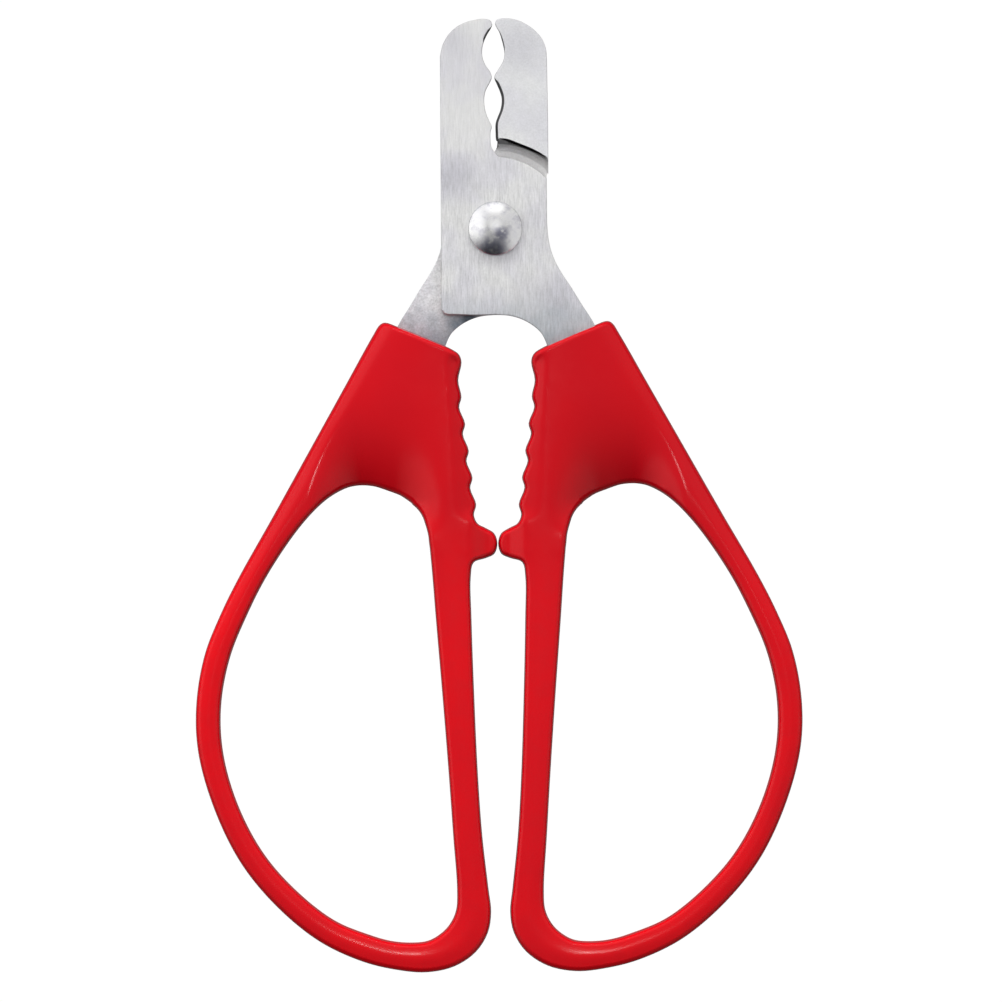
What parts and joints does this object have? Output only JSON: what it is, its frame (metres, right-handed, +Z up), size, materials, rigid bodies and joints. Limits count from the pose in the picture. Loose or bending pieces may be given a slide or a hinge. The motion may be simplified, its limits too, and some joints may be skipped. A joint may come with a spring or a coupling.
{
  "type": "scissor nail clipper",
  "caption": "Scissor-action pet nail clipper with two notched flat steel jaws on a domed rivet and plastic ring handles with serrated grips.",
  "frame": {"origin": "middle of the closed clipper's width and length, on the surface its handles rest on", "axes": "+Y from the finger loops to the jaw tips; +Z up out of the rivet head's side; +X to the right seen from that side"},
  "size_m": [0.07, 0.1099, 0.0078],
  "materials": {
    "brushed_steel": "brushed along the blade",
    "satin_steel": "satin",
    "polished_steel": "polished",
    "red_plastic": "gloss"
  },
  "bodies": {
    "rear_half": {"rear_blade": "satin_steel", "left_handle": "red_plastic", "rivet": "polished_steel", "rivet_washer": "polished_steel"},
    "front_half": {"front_blade": "brushed_steel", "right_handle": "red_plastic"}
  },
  "joints": [
    {"name": "pivot", "type": "hinge", "parent": "rear_half", "child": "front_half", "pos_m": [0, 0.03075, 0], "axis": [0, 0, 1], "range_deg": [0, 85]}
  ]
}
